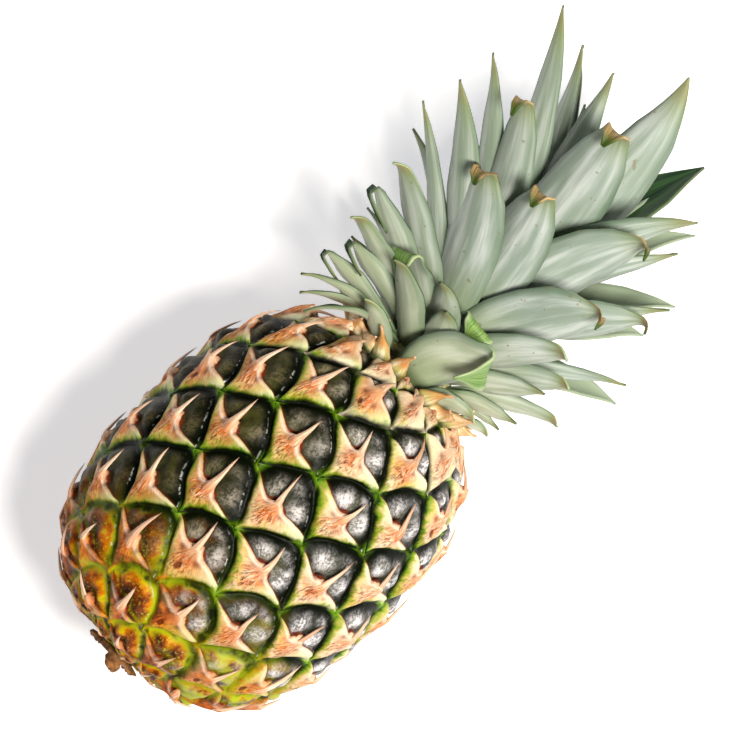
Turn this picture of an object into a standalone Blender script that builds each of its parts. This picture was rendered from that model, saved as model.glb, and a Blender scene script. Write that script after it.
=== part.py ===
"""Pineapple lying on its side: the fused fruit, its cut stalk with dried bracts, and the leafy crown.

Metres, +Z up. X runs along the fruit from the stalk to the crown. The origin is in the middle of the flat
spot that the fruit lies on.
"""

import math

import bmesh
import bpy
from mathutils import Vector

MM = 0.001
GOLDEN = math.radians(137.508)

# Body of the fruit
R = 60 * MM  # radius over the tops of the fruitlets
BASE_HALF = 74.5 * MM  # from the greatest girth to the stalk end
CROWN_HALF = 72.5 * MM  # and to the crown end
POWER = 2.7  # superellipse exponent: nearly straight flanks and blunt ends
AXIS_Z = 57.8 * MM  # height of the axis, 2.2 mm lower than the radius, so the belly is pressed flat
SEAT_R = 10.5 * MM  # flat disc at each end, where the stalk and the crown are attached
SEAT_INSET = 1.2 * MM  # how far the disc is let in

# Fruitlets: the n-th sits one golden angle on from the last and RISE further along the skin. Neighbours are 8
# and 13 apart, and the cell of a fruitlet is a diamond standing on its corner.
RISE = 1.61 * MM
SHRINK_R = 36 * MM  # inside this radius the fruitlets get smaller towards the ends
MIDDLE = 69.75  # index at the greatest girth
FACING = 74  # the fruitlet that faces up
FACING_TURN = math.radians(-2.2)  # and its azimuth
TURN_8 = math.radians(-20.064)
TURN_13 = math.radians(12.396)
LINES = (-1.0, -0.72, -0.18, 0.18, 0.72, 1.0)
GROOVE = 3.3 * MM
RIDGE = 1.1 * MM
SPINE = 12 * MM
SPINE_LIFT = 3.2 * MM
SPINE_CLEARANCE = 1.5 * MM  # no spine where it would touch what the fruit lies on

# Crown
# The leafy stem, as (x, radius) in mm
CORE = ((71.7, 8.7), (73, 9), (75.6, 17), (84, 13), (112, 7), (150, 2.2))
COLLAR = 12  # short bracts round the foot of the crown
COLLAR_ROOT = (75.4 * MM, 13 * MM)  # x and radius
COLLAR_TIP = (84 * MM, 33 * MM)
COLLAR_WIDTH = 14 * MM
COLLAR_ARCH = 0.12
EDGE_THICK = 0.7 * MM
LEAF_THICK = (3.2 * MM, 2.4 * MM, 1.8 * MM, 1.2 * MM)  # in the middle of each section, root first
LEAF_CUP = 0.13  # depth of the channel, as a share of the width
ROOT_SINK = 2.2 * MM  # how far a leaf starts inside the stem
LEAF_CLEARANCE = 1.5 * MM  # the lowest that a leaf hangs over what the fruit lies on
# The outline of a leaf, by its least width: stations along it, and its share of the full width at each.
LEAF_SHAPES = (
    (17 * MM, (0.0, 0.3, 0.6, 0.9, 1.0), (0.7, 1.0, 0.98, 0.55, 0.0)),
    (12.5 * MM, (0.0, 0.3, 0.58, 0.84, 1.0), (0.7, 1.0, 0.9, 0.55, 0.0)),
    (0.0, (0.0, 0.4, 0.78, 1.0), (0.8, 1.0, 0.6, 0.0)),
)
ROLL = math.radians(34)  # how far the side leaves turn their outer face up, at the tip

# Crown leaves that face up, stalk side first: where the leaf leaves the stem, its azimuth from straight up
# towards +Y, then how far along and how far out its tip is, how much it arches, how far its tip swings round,
# and its width. Millimetres and degrees.
UPPER_LEAVES = (
    (76, 2, 98, 38, 0.10, 8, 15),
    (76, -30, 96, 40, 0.14, 0, 23),
    (76, 40, 82, 42, 0.14, 4, 14),
    (77, 34, 98, 53, 0.12, 4, 17),
    (76, 60, 69, 60, 0.18, 0, 9),
    (76, 66, 64, 52, 0.20, 0, 8),
    (76, 50, 60, 54, 0.26, 0, 9),
    (77, 66, 80, 60, 0.14, 0, 13),
    (81, 58, 90, 60, 0.12, 6, 16),
    (83, 54, 97, 66, 0.12, 4, 16),
    (87, 58, 111, 71, 0.12, 2, 16),
    (91, 50, 123, 76, 0.12, 4, 17),
    (95, 72, 144, 70, 0.10, 2, 10),
    (98, 52, 158, 76, 0.10, 4, 19),
    (86, 42, 106, 54, 0.08, 6, 15),
    (83, 14, 104, 38, 0.06, 10, 17),
    (85, -10, 107, 34, 0.06, -4, 16),
    (90, 38, 144, 54, 0.12, 4, 27),
    (94, 12, 155, 48, 0.12, 6, 26),
    (104, 46, 173, 58, 0.08, 4, 20),
    (108, 64, 174, 68, 0.08, 2, 14),
    (116, 76, 205, 59, 0.06, 0, 18),
    (120, 86, 201, 42, 0.04, 0, 15),
    (122, 58, 201, 32, 0.04, 0, 16),
    (112, 12, 190, 44, 0.12, 4, 27),
    (124, -14, 219, 26, 0.08, 30, 28),
    (124, -62, 191, 16, 0.04, 0, 11),
    (120, -150, 205, 41, 0.04, 0, 26),
    (112, -30, 185, 45, 0.10, -16, 22),
    (112, -72, 173, 38, 0.06, 0, 12),
    (98, -26, 166, 46, 0.14, -10, 26),
    (90, -36, 136, 52, 0.14, -6, 27),
    (96, -66, 147, 50, 0.12, -6, 18),
    (100, -78, 157, 50, 0.06, 0, 11),
    (83, -40, 119, 50, 0.12, -6, 18),
    (86, -84, 127, 58, 0.12, 0, 11),
    (82, -68, 112, 48, 0.12, 0, 14),
    (79, -62, 103, 45, 0.12, 0, 13),
    (77, -84, 100, 52, 0.14, 0, 11),
    (76, -76, 88, 42, 0.14, 0, 10),
    (76, -92, 82, 38, 0.14, 0, 9),
)
# Leaves of the underside, by the same spiral as the fruitlets: for each pair, the first leaf and how much the
# value grows or swells over the row
LOWER_LEAVES = 22
LOWER_ARC = math.radians(172)
LOWER_ROOT_X = (77 * MM, 46 * MM)
LOWER_TIP_X = (88 * MM, 112 * MM)
LOWER_TIP_OUT = (40 * MM, 26 * MM)
LOWER_WIDTH = (9 * MM, 12 * MM)
LOWER_ARCH = 0.09
LOWER_ROOM = 54 * MM  # how far below the axis a tip may reach

# Cut stalk, broken off nearly flush, and the dried bracts round it: for each its azimuth, how far it reaches
# past the end of the fruit, how far out its tip is, and its width. Millimetres and degrees.
STUB_R = 9 * MM
STUB_LEN = 1.6 * MM
STUB_ROOT = 0.9 * MM  # how far the stub reaches into the seat
DRY_BRACTS = (
    (-18, 5.2, 13, 9),
    (62, 2.4, 16, 9),
    (131, 1.8, 17, 8),
    (-158, 2.6, 15, 9),
    (-92, 2.0, 16, 8),
)
DRY_THICK = (2.4 * MM, 1.8 * MM, 1.2 * MM)
DRY_CUP = 0.12


def profile():
    """The outline as (distance along the skin from the girth, x, radius), stalk end to crown end."""
    steps = 1600
    rows = []
    run = 0.0
    for i in range(steps + 1):
        t = math.pi * i / steps
        c = math.cos(t)
        x = -BASE_HALF * c ** (2 / POWER) if c > 0 else CROWN_HALF * (-c) ** (2 / POWER)
        r = R * math.sin(t) ** (2 / POWER) if 0 < i < steps else 0.0
        if rows:
            run += math.hypot(x - rows[-1][1], r - rows[-1][2])
        rows.append((run, x, r))
    return [(s - run / 2, x, r) for s, x, r in rows]


def spiral(rows):
    """Rows of (index, x, radius, size) for the part of the outline outside the end discs."""
    index = 0.0
    found = []
    for (s0, _, r0), (s1, x1, r1) in zip(rows, rows[1:]):
        index += (s1 - s0) / (RISE * min(1.0, max(0.5 * (r0 + r1), 4 * MM) / SHRINK_R))
        found.append([index, x1, r1, min(1.0, r1 / SHRINK_R)])
    mid = min(found, key=lambda row: abs(row[1]))[0]
    return [(k - mid + MIDDLE, x, r, size) for k, x, r, size in found if r >= SEAT_R]


def at(table, index):
    """(x, radius, size, slope) of the outline at an index, by linear steps."""
    low, high = 0, len(table) - 1
    while high - low > 1:
        mid = (low + high) // 2
        if table[mid][0] <= index:
            low = mid
        else:
            high = mid
    a, b = table[low], table[high]
    f = (index - a[0]) / (b[0] - a[0])
    mixed = [a[i] + f * (b[i] - a[i]) for i in (1, 2, 3)]
    return mixed[0], mixed[1], mixed[2], Vector((b[1] - a[1], b[2] - a[2])).normalized()


def around(x, out, phi):
    """A point at x along the axis and out from it, at azimuth phi from straight up towards +Y."""
    return Vector((x, out * math.sin(phi), AXIS_Z + out * math.cos(phi)))


def relief(p, q):
    """Height of a fruitlet over its cell: groove at the edge, bract ridge across the middle, domed sepals."""
    edge = max(abs(p), abs(q))
    m, n = 0.5 * (p + q), 0.5 * (p - q)
    height = -GROOVE * edge**5
    height += RIDGE * max(0.0, 1 - abs(m + 0.05) / 0.4) * (1 - 0.9 * abs(n)) * (1 - edge**4)
    if m > 0.1:
        height -= 0.5 * MM * (1 - edge**4)
    return height


def skin_point(table, index, phi, height):
    x, r, size, slope = at(table, index)
    normal = Vector((-slope.y, slope.x))
    bare = AXIS_Z + (r + 0.5 * MM) * math.cos(phi)
    shallow = min(1.0, max(0.0, bare / (3.5 * MM)))
    height *= size * shallow
    point = around(x + normal.x * height, r + normal.y * height, phi)
    # The belly: nothing reaches below what the fruit lies on, and no groove crosses the flat spot.
    point.z = max(point.z, 0.0)
    return point


def make_fruit():
    table = spiral(profile())
    first = math.ceil(table[0][0] + 10.5)
    last = math.floor(table[-1][0] - 10.5)
    bm = bmesh.new()
    known = {}

    def azimuth(number, p, q):
        return FACING_TURN - (number - FACING) * GOLDEN + p * TURN_8 / 2 + q * TURN_13 / 2

    def vert(number, i, j):
        """The grid point (i, j) of a fruitlet, shared with its neighbours 8 and 13 on."""
        top = len(LINES) - 1
        if i == top:
            number, i = number + 8, 0
        if j == top:
            number, j = number + 13, 0
        key = (number, i, j)
        if key not in known:
            p, q = LINES[i], LINES[j]
            index = number + 4 * p + 6.5 * q
            known[key] = bm.verts.new(skin_point(table, index, azimuth(number, p, q), relief(p, q)))
        return known[key]

    cells = len(LINES) - 1
    middle = cells // 2
    for number in range(first, last + 1):
        for i in range(cells):
            for j in range(cells):
                ring = [vert(number, *c) for c in ((i, j), (i, j + 1), (i + 1, j + 1), (i + 1, j))]
                if (i, j) != (middle, middle):
                    # The shorter diagonal of the two, so that ridges and grooves stay sharp.
                    turned = (i < middle) != (j < middle)
                    a, b, c, d = ring if turned else ring[1:] + ring[:1]
                    bm.faces.new((a, b, c))
                    bm.faces.new((a, c, d))
                    continue
                phi = azimuth(number, 0, 0)
                x, r, _, _ = at(table, number)
                near_crown = min(1.0, max(0.35, (70 * MM - x) / (12 * MM)))
                root = around(x, r, phi)
                # The spine follows the skin towards the crown, standing off it at the tip.
                x, r, size, slope = at(table, min(number + SPINE * near_crown / RISE, table[-1][0]))
                lift = SPINE_LIFT * size * near_crown
                tip = around(x - slope.y * lift, r + slope.x * lift, phi)
                if tip.z < SPINE_CLEARANCE or root.z < 2 * SPINE_CLEARANCE:
                    tip = skin_point(table, number, phi, RIDGE)
                apex = bm.verts.new(tip)
                for a, b in zip(ring, ring[1:] + ring[:1]):
                    bm.faces.new((a, b, apex))
    close_end(bm, known, first, cells, -1)
    close_end(bm, known, last + 21, cells, 1)
    bmesh.ops.recalc_face_normals(bm, faces=bm.faces)
    return finish("fruit", bm)


def close_end(bm, known, start, cells, side):
    """Closes an end of the net of fruitlets: its zigzag rim, a short ramp, and a flat disc."""
    step = -side
    corner, rim, corners = start, [], []
    for _ in range(21):
        corners.append(len(rim))
        ahead = (corner - start) * step + 8 < 21
        if ahead:
            after, low, axis = corner + 8 * step, min(corner, corner + 8 * step), 0
        else:
            after, low, axis = corner - 13 * step, min(corner, corner - 13 * step), 1
        rim.append(known[(corner, 0, 0)])
        inner = range(1, cells) if after > corner else range(cells - 1, 0, -1)
        rim += [known[(low, k, 0) if axis == 0 else (low, 0, k)] for k in inner]
        corner = after
    seat_x = (CROWN_HALF if side > 0 else -BASE_HALF) - side * SEAT_INSET
    ring = []
    for spot in corners:
        v = rim[spot].co
        phi = math.atan2(v.y, v.z - AXIS_Z)
        ring.append(bm.verts.new(around(seat_x, SEAT_R - 1.5 * MM, phi)))
    centre = bm.verts.new(around(seat_x, 0, 0))
    for k in range(21):
        a, b = ring[k], ring[(k + 1) % 21]
        span = [rim[(corners[k] + j) % len(rim)] for j in range(cells + 1)]
        half = len(span) // 2
        for j in range(cells):
            bm.faces.new((span[j], span[j + 1], a if j < half else b))
        bm.faces.new((a, span[half], b))
        bm.faces.new((a, b, centre))


def blade(path, sides, lifts, widths, cup, thick):
    """A leaf as a closed solid: six points a section, a channel along its inner side, and a pointed tip.

    path: centre line; sides: unit vectors across it; lifts: unit vectors out of its inner face.
    """
    bm = bmesh.new()
    rings = []
    for k in range(len(path) - 1):
        p, s, u, w = path[k], sides[k], lifts[k], widths[k] / 2
        edge, mid = EDGE_THICK / 2, thick[k] / 2
        rim = p + u * (cup * w * 2)
        rings.append(
            [
                bm.verts.new(c)
                for c in (
                    rim - s * w + u * edge,
                    p + u * mid,
                    rim + s * w + u * edge,
                    rim + s * w - u * edge,
                    p - u * mid,
                    rim - s * w - u * edge,
                )
            ]
        )
    tip = bm.verts.new(path[-1] + lifts[-1] * cup * widths[-2])
    for a, b in zip(rings, rings[1:]):
        for k in range(6):
            n = (k + 1) % 6
            bm.faces.new((a[k], a[n], b[n], b[k]))
    for k in range(6):
        bm.faces.new((rings[-1][k], rings[-1][(k + 1) % 6], tip))
    bm.faces.new((rings[0][0], rings[0][1], rings[0][4], rings[0][5]))
    bm.faces.new((rings[0][1], rings[0][2], rings[0][3], rings[0][4]))
    bmesh.ops.recalc_face_normals(bm, faces=bm.faces)
    bmesh.ops.triangulate(bm, faces=bm.faces)
    return bm


def crown_leaf(root_x, root_r, phi, tip_x, tip_out, arch, swing, width):
    """A leaf that leaves the stem at root_x and arches to its tip, in the plane of its azimuth."""
    start, end = Vector((root_x, root_r)), Vector((tip_x, tip_out))
    run = end - start
    control = start + run / 2 + Vector((run.y, -run.x)) * arch
    path, sides, lifts = [], [], []
    stations, shape = next(row[1:] for row in LEAF_SHAPES if width >= row[0])
    for s in stations:
        flat = start * (1 - s) ** 2 + control * 2 * s * (1 - s) + end * s * s
        slope = ((control - start) * (1 - s) + (end - control) * s).normalized()
        turn = phi + swing * s * s
        out = Vector((0, math.sin(turn), math.cos(turn)))
        p = Vector((flat.x, 0, AXIS_Z)) + out * flat.y
        path.append(p)
        side = Vector((0, out.z, -out.y))
        lift = Vector((slope.y, 0, 0)) - out * slope.x
        roll = ROLL * s * max(0.0, math.cos(2 * (abs(phi) - math.radians(75)))) * math.copysign(1, phi)
        sides.append(side * math.cos(roll) - lift * math.sin(roll))
        lifts.append(lift * math.cos(roll) + side * math.sin(roll))
    low = min(p.z - width * f * abs(s.z) / 2 for p, s, f in zip(path, sides, shape))
    for p in path:
        if low < LEAF_CLEARANCE:
            p.z += (LEAF_CLEARANCE - low) * min(1.0, (p - path[0]).length / (30 * MM))
    return blade(path, sides, lifts, [width * f for f in shape], LEAF_CUP, LEAF_THICK)


def core_radius(x):
    for (x0, r0), (x1, r1) in zip(CORE, CORE[1:]):
        if x <= x1 * MM:
            return (r0 + (r1 - r0) * (x / MM - x0) / (x1 - x0)) * MM
    return CORE[-1][1] * MM


def make_crown():
    solids = [turned([(x * MM, r * MM) for x, r in CORE], 12)]
    for x, phi, tip_x, tip_out, arch, swing, width in UPPER_LEAVES:
        x, root = x * MM, core_radius(x * MM) - ROOT_SINK
        solids.append(crown_leaf(x, root, math.radians(phi), tip_x * MM, tip_out * MM, arch,
                                 math.radians(swing), width * MM))
    for k in range(COLLAR):
        phi = math.remainder(k * GOLDEN, 2 * math.pi)
        tip_x = COLLAR_TIP[0] + 4 * MM * math.cos(1.7 * k)
        tip_out = COLLAR_TIP[1] + 4 * MM * math.sin(2.3 * k)
        width = COLLAR_WIDTH + 2 * MM * math.cos(2.9 * k)
        solids.append(crown_leaf(*COLLAR_ROOT, phi, tip_x, tip_out, COLLAR_ARCH, 0.0, width))
    for k in range(LOWER_LEAVES):
        f = (k + 0.5) / LOWER_LEAVES
        # The spiral of the stem, folded into the lower half, where the leaves above aren't.
        phi = math.pi + (((k * GOLDEN) % (2 * math.pi)) / (2 * math.pi) - 0.5) * LOWER_ARC
        x = LOWER_ROOT_X[0] + LOWER_ROOT_X[1] * f
        tip_x = LOWER_TIP_X[0] + LOWER_TIP_X[1] * f**0.9
        tip_out = LOWER_TIP_OUT[0] + LOWER_TIP_OUT[1] * math.sin(math.pi * min(1.0, f * 1.25 + 0.1))
        tip_out = min(tip_out, LOWER_ROOM / max(0.5, abs(math.cos(phi))))
        width = LOWER_WIDTH[0] + LOWER_WIDTH[1] * math.sin(math.pi * (0.12 + 0.76 * f))
        solids.append(crown_leaf(x, core_radius(x) - ROOT_SINK, phi, tip_x, tip_out, LOWER_ARCH, 0.0, width))
    return fused("crown", solids)


def turned(outline, sides):
    """A solid of revolution about the axis of the fruit, closed at both ends."""
    bm = bmesh.new()
    rings = [
        [bm.verts.new(around(x, r, 2 * math.pi * k / sides)) for k in range(sides)] for x, r in outline
    ]
    for a, b in zip(rings, rings[1:]):
        for k in range(sides):
            n = (k + 1) % sides
            bm.faces.new((a[k], a[n], b[n], b[k]))
    bm.faces.new(rings[0])
    bm.faces.new(rings[-1])
    bmesh.ops.recalc_face_normals(bm, faces=bm.faces)
    bmesh.ops.triangulate(bm, faces=bm.faces)
    return bm


def make_stalk():
    """The cut stub, and the dried bracts that stand round it."""
    end = -BASE_HALF - STUB_LEN
    outline = ((-BASE_HALF + STUB_ROOT, STUB_R - 0.4 * MM), (-BASE_HALF - 0.3 * MM, STUB_R),
               (end + 0.5 * MM, STUB_R), (end, STUB_R - 1 * MM))
    solids = [turned(outline, 14)]
    for azimuth, beyond, tip_out, width in DRY_BRACTS:
        phi = math.radians(azimuth)
        root = Vector((-BASE_HALF - 0.2 * MM, STUB_R - 2 * MM))
        tip = Vector((-BASE_HALF - beyond * MM, tip_out * MM))
        path, widths = [], []
        for s, share in ((0.0, 0.8), (0.35, 1.0), (0.7, 0.7), (1.0, 0.0)):
            flat = root.lerp(tip, s)
            path.append(around(flat.x, flat.y, phi))
            widths.append(width * MM * share)
        run = (tip - root).normalized()
        sides = [Vector((0, math.cos(phi), -math.sin(phi)))] * len(path)
        lifts = [Vector((-run.y, run.x * math.sin(phi), run.x * math.cos(phi)))] * len(path)
        solids.append(blade(path, sides, lifts, widths, DRY_CUP, DRY_THICK))
    return fused("stalk", solids)


def fused(name, solids):
    """Joins solids that grow into each other by one union, and keeps the outer skin."""
    rest = bpy.data.collections.new(name + "_solids")
    first = None
    for number, bm in enumerate(solids):
        mesh = bpy.data.meshes.new(f"{name}_solid_{number}")
        bm.to_mesh(mesh)
        bm.free()
        obj = bpy.data.objects.new(mesh.name, mesh)
        if first is None:
            first = obj
            bpy.context.scene.collection.objects.link(obj)
        else:
            rest.objects.link(obj)
    union = first.modifiers.new("union", "BOOLEAN")
    union.operation = "UNION"
    union.operand_type = "COLLECTION"
    union.collection = rest
    union.solver = "MANIFOLD"
    graph = bpy.context.evaluated_depsgraph_get()
    bm = bmesh.new()
    bm.from_object(first, graph)
    for obj in [first, *rest.objects]:
        mesh = obj.data
        bpy.data.objects.remove(obj)
        bpy.data.meshes.remove(mesh)
    bpy.data.collections.remove(rest)
    bmesh.ops.dissolve_degenerate(bm, edges=bm.edges, dist=0.01 * MM)
    bmesh.ops.triangulate(bm, faces=bm.faces)
    keep_outer(bm)
    return finish(name, bm)


def keep_outer(bm):
    """Drops every shell but the largest: sealed hollows between leaves, and scraps."""
    left = set(bm.faces)
    shells = []
    while left:
        shell, queue = set(), [left.pop()]
        while queue:
            face = queue.pop()
            shell.add(face)
            for edge in face.edges:
                for other in edge.link_faces:
                    if other in left:
                        left.remove(other)
                        queue.append(other)
        shells.append(shell)
    shells.sort(key=len, reverse=True)
    for shell in shells[1:]:
        bmesh.ops.delete(bm, geom=list(shell), context="FACES")


def finish(name, bm):
    mesh = bpy.data.meshes.new(name)
    bm.to_mesh(mesh)
    bm.free()
    obj = bpy.data.objects.new(name, mesh)
    bpy.context.scene.collection.objects.link(obj)
    return obj


def paint(obj, name, colour, roughness):
    material = bpy.data.materials.new(name)
    material.use_nodes = True
    shader = material.node_tree.nodes["Principled BSDF"]
    shader.inputs["Base Color"].default_value = (*colour, 1.0)
    shader.inputs["Roughness"].default_value = roughness
    obj.data.materials.append(material)


def main():
    for obj in list(bpy.data.objects):
        bpy.data.objects.remove(obj)
    paint(make_fruit(), "pineapple_skin", (0.30, 0.22, 0.07), 0.55)
    paint(make_stalk(), "dried_stalk", (0.33, 0.20, 0.09), 0.8)
    paint(make_crown(), "pineapple_leaf", (0.32, 0.42, 0.29), 0.5)


main()
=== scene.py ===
"""Pineapple lying on its side: rind of fused fruitlets, spines, crown and stalk, dressed over the solids."""

import math
import random
from functools import partial
from types import SimpleNamespace

import bmesh
import bpy
import numpy as np
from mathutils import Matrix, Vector, noise


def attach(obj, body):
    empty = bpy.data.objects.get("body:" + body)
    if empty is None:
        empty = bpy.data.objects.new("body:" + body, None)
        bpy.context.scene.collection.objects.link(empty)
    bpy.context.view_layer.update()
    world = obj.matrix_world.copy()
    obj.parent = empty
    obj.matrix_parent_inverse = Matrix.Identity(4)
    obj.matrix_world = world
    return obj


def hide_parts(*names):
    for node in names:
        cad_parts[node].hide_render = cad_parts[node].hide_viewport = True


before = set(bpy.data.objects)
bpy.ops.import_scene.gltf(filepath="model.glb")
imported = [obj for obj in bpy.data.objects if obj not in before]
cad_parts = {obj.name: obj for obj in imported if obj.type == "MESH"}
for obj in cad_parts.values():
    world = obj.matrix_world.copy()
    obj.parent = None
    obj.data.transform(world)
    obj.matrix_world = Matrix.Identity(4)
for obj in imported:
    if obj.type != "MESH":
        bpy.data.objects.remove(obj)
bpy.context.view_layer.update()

MM = 0.001
GOLDEN = math.radians(137.508)
NOISE_SEED = 7  # without a seed of its own the noise field differs from run to run

# Body of the fruit, as in the solids
R = 60 * MM
BASE_HALF = 74.5 * MM
CROWN_HALF = 72.5 * MM
POWER = 2.7
AXIS_Z = 57.8 * MM
SEAT_R = 10.5 * MM

# Fruitlets on their spiral, as in the solids. Neighbours differ in number by 8 and by 13.
RISE = 1.61 * MM
SHRINK_R = 36 * MM
MIDDLE = 69.75
FACING, FACING_TURN = 74, math.radians(-2.2)  # the fruitlet that faces up, and its azimuth
HALF_8, HALF_13 = 4, 6.5
TURN_8 = math.radians(-20.064)
TURN_13 = math.radians(12.396)
EYE_CUTS = 26  # faces along each side of a fruitlet

GROOVE = 3.7  # depth in mm
BOW = 0.13  # how far the edges bow between the corners
CELL_REACH = 17  # half the diagonal of a full fruitlet, in mm
DRIFT = 15 * MM, 2.3 * MM  # whole fruitlets wander off their spiral: the size of the swirls, and how far
CRINKLE = 2.2 * MM, 0.16 * MM  # and their skin is crinkled
BRACT_FRONT = -0.05  # where the bract ends and the sepals begin, as a share of the half diagonal
NOSE, NOSE_HALF, WING = 0.16, 0.12, 0.09  # drawn forward at the root of the spine, and at the corners
FRONT_SHIFT, FRONT_SKEW = 0.16, 0.3  # how much that differs between fruitlets
YOUNG_SHIFT = 0.22  # how much further forward it lies next to the crown
# A spine by the distance ahead of its root: half width, half thickness and height over the skin, in mm. Then
# those that turn away from the crown or stand off, by fruitlet: how far they veer, in radians, and rise.
SPINE_AT = (-5.0, -3.0, -1.0, 1.0, 3.0, 6.0, 9.5, 13.0)
SPINE_HALF = (0.8, 1.7, 2.1, 1.6, 1.2, 0.85, 0.5, 0.05)
SPINE_THICK = (0.2, 0.45, 0.6, 0.6, 0.55, 0.45, 0.3, 0.04)
SPINE_UP = (-0.9, -0.2, 0.5, 0.8, 0.95, 1.1, 1.2, 1.1)
STRAY_SPINES = {22: (2.3, 3.0), 37: (0.5, 2.2), 24: (-0.5, 1.8)}
SPINE_CUTS = 10, 5  # faces along a spine and round it

# Leafy stem, as in the solids: (x, radius) in mm
CORE = ((71.7, 8.7), (73, 9), (75.6, 17), (84, 13), (112, 7), (150, 2.2))
LEAF_ROWS, LEAF_CUTS = 40, 10
LEAF_THICK = 0.9 * MM
LEAF_DEEP = 2  # how deep a leaf is rooted in the stem, in mm
ROLL = math.radians(38)  # leaves off the middle turn their outer face up
# Bracts at the foot of the crown, in two rows: x and radius of the root and of the tip, and the width
COLLAR_ROWS = [(70, 19, 76.5, 28, 13)] * 15 + [(66.5, 26.5, 74, 35, 12)] * 19
BROAD_AT, BROAD_HALF = 0.12, 0.5  # no bract of the inner row under the broadest foot leaf, in radians
LOWER_LEAVES = 22

# Each kind of leaf: how far its end curls in, in radians; between which shares of its length; how dry its end
# is; and its width along it, as shares of the whole. Strap leaves stay wide nearly to the tip.
LEAF_KINDS = {
    "point": (0.15, 0.8, 1.0, 0.3, ((0, 0.8), (0.25, 1.0), (0.5, 0.9), (0.75, 0.6), (0.9, 0.26), (1, 0.03))),
    "spiny": (0.15, 0.8, 1.0, 1.0, ((0, 0.8), (0.25, 1.0), (0.45, 0.72), (0.65, 0.36), (0.85, 0.15),
                                    (1, 0.03))),
    "blunt": (0.5, 0.8, 1.0, 0.3, ((0, 0.72), (0.3, 0.97), (0.5, 1.0), (0.65, 0.92), (0.8, 0.68),
                                   (0.9, 0.44), (0.96, 0.24), (1, 0.06))),
    "hook": (0.9, 0.84, 1.0, 0.55, ((0, 0.75), (0.35, 1.0), (0.65, 0.86), (0.82, 0.62), (0.93, 0.38),
                                    (1, 0.04))),
    "fold": (2.8, 0.72, 0.82, 0.55, ((0, 0.72), (0.3, 0.95), (0.55, 1.0), (0.74, 0.97), (0.84, 0.8),
                                     (0.92, 0.3), (1, 0.03))),
    "drooped": (3.0, 0.72, 0.785, 0.3, ((0, 0.75), (0.3, 1.0), (0.5, 0.9), (0.62, 0.64), (0.72, 0.32),
                                        (0.79, 0.28), (0.9, 0.24), (1, 0.04))),
    "dried": (2.85, 0.87, 0.95, 1.0, ((0, 0.72), (0.3, 0.97), (0.5, 1.0), (0.65, 0.95), (0.78, 0.76),
                                      (0.88, 0.46), (0.93, 0.3), (1, 0.06))),
    "withered": (1.9, 0.83, 0.97, 1.0, ((0, 0.74), (0.3, 0.97), (0.5, 1.0), (0.68, 0.9), (0.8, 0.62),
                                        (0.87, 0.3), (0.93, 0.15), (1, 0.03))),
}

# Crown leaves that face up, as in the solids: x of the root, azimuth, x and distance out of the tip, arch,
# swing and width, in mm and degrees; then the kind
UPPER_LEAVES = (
    (76, 2, 98, 38, 0.03, 8, 15, "blunt"),
    (77, 34, 98, 53, 0.04, 4, 17, "blunt"),
    (76, 60, 69, 60, 0.18, 0, 9, "point"),
    (76, 66, 64, 52, 0.20, 0, 8, "point"),
    (76, 50, 60, 54, 0.26, 0, 9, "point"),
    (77, 66, 81, 70, 0.05, 0, 12, "drooped"),
    (81, 58, 92, 70, 0.03, 0, 15, "drooped"),
    (83, 54, 98, 68, 0.03, 0, 15, "hook"),
    (87, 58, 116, 84, 0.02, 0, 16, "drooped"),
    (91, 50, 123, 76, 0.02, 0, 16, "hook"),
    (95, 72, 144, 70, 0.03, 2, 10, "point"),
    (98, 52, 158, 76, 0.03, 4, 19, "point"),
    (86, 42, 106, 54, 0.03, 6, 15, "fold"),
    (83, 14, 104, 38, 0.02, 10, 17, "blunt"),
    (85, -10, 107, 34, 0.02, -4, 16, "fold"),
    (90, 38, 146, 55, 0.04, 4, 26, "dried"),
    (94, 12, 156, 49, 0.04, 6, 25, "dried"),
    (104, 46, 175, 60, 0.03, 4, 19, "dried"),
    (108, 64, 174, 68, 0.03, 2, 14, "point"),
    (116, 76, 205, 59, 0.02, 0, 18, "point"),
    (120, 86, 201, 42, 0.01, 0, 15, "point"),
    (122, 58, 201, 32, 0.01, 0, 16, "point"),
    (112, 12, 192, 45, 0.04, 4, 27, "dried"),
    (124, -14, 219, 26, 0.03, 30, 28, "point"),
    (124, -30, 189, 11, 0.01, 0, 11, "point"),
    (120, -150, 205, 41, 0.01, 0, 26, "point"),
    (112, -30, 185, 45, 0.03, -16, 22, "point"),
    (112, -72, 173, 38, 0.02, 0, 12, "point"),
    (98, -26, 172, 48, 0.05, -10, 26, "withered"),
    (90, -36, 141, 54, 0.05, -6, 27, "withered"),
    (96, -66, 152, 52, 0.04, -6, 18, "withered"),
    (100, -78, 157, 50, 0.02, 0, 11, "point"),
    (83, -40, 119, 50, 0.04, -6, 18, "hook"),
    (86, -84, 127, 58, 0.04, 0, 11, "point"),
    (82, -68, 112, 48, 0.04, 0, 14, "hook"),
    (79, -62, 103, 45, 0.04, 0, 13, "point"),
    (77, -84, 100, 52, 0.05, 0, 11, "hook"),
    (76, -76, 88, 42, 0.05, 0, 10, "point"),
    (76, -92, 82, 38, 0.05, 0, 9, "point"),
    (86, 122, 104, 64, 0.04, 0, 14, "point"),
    (92, 126, 134, 64, 0.04, 0, 16, "point"),
    (100, 126, 152, 52, 0.04, 0, 15, "point"),
    (104, 124, 164, 56, 0.04, 0, 14, "point"),
)

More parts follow.
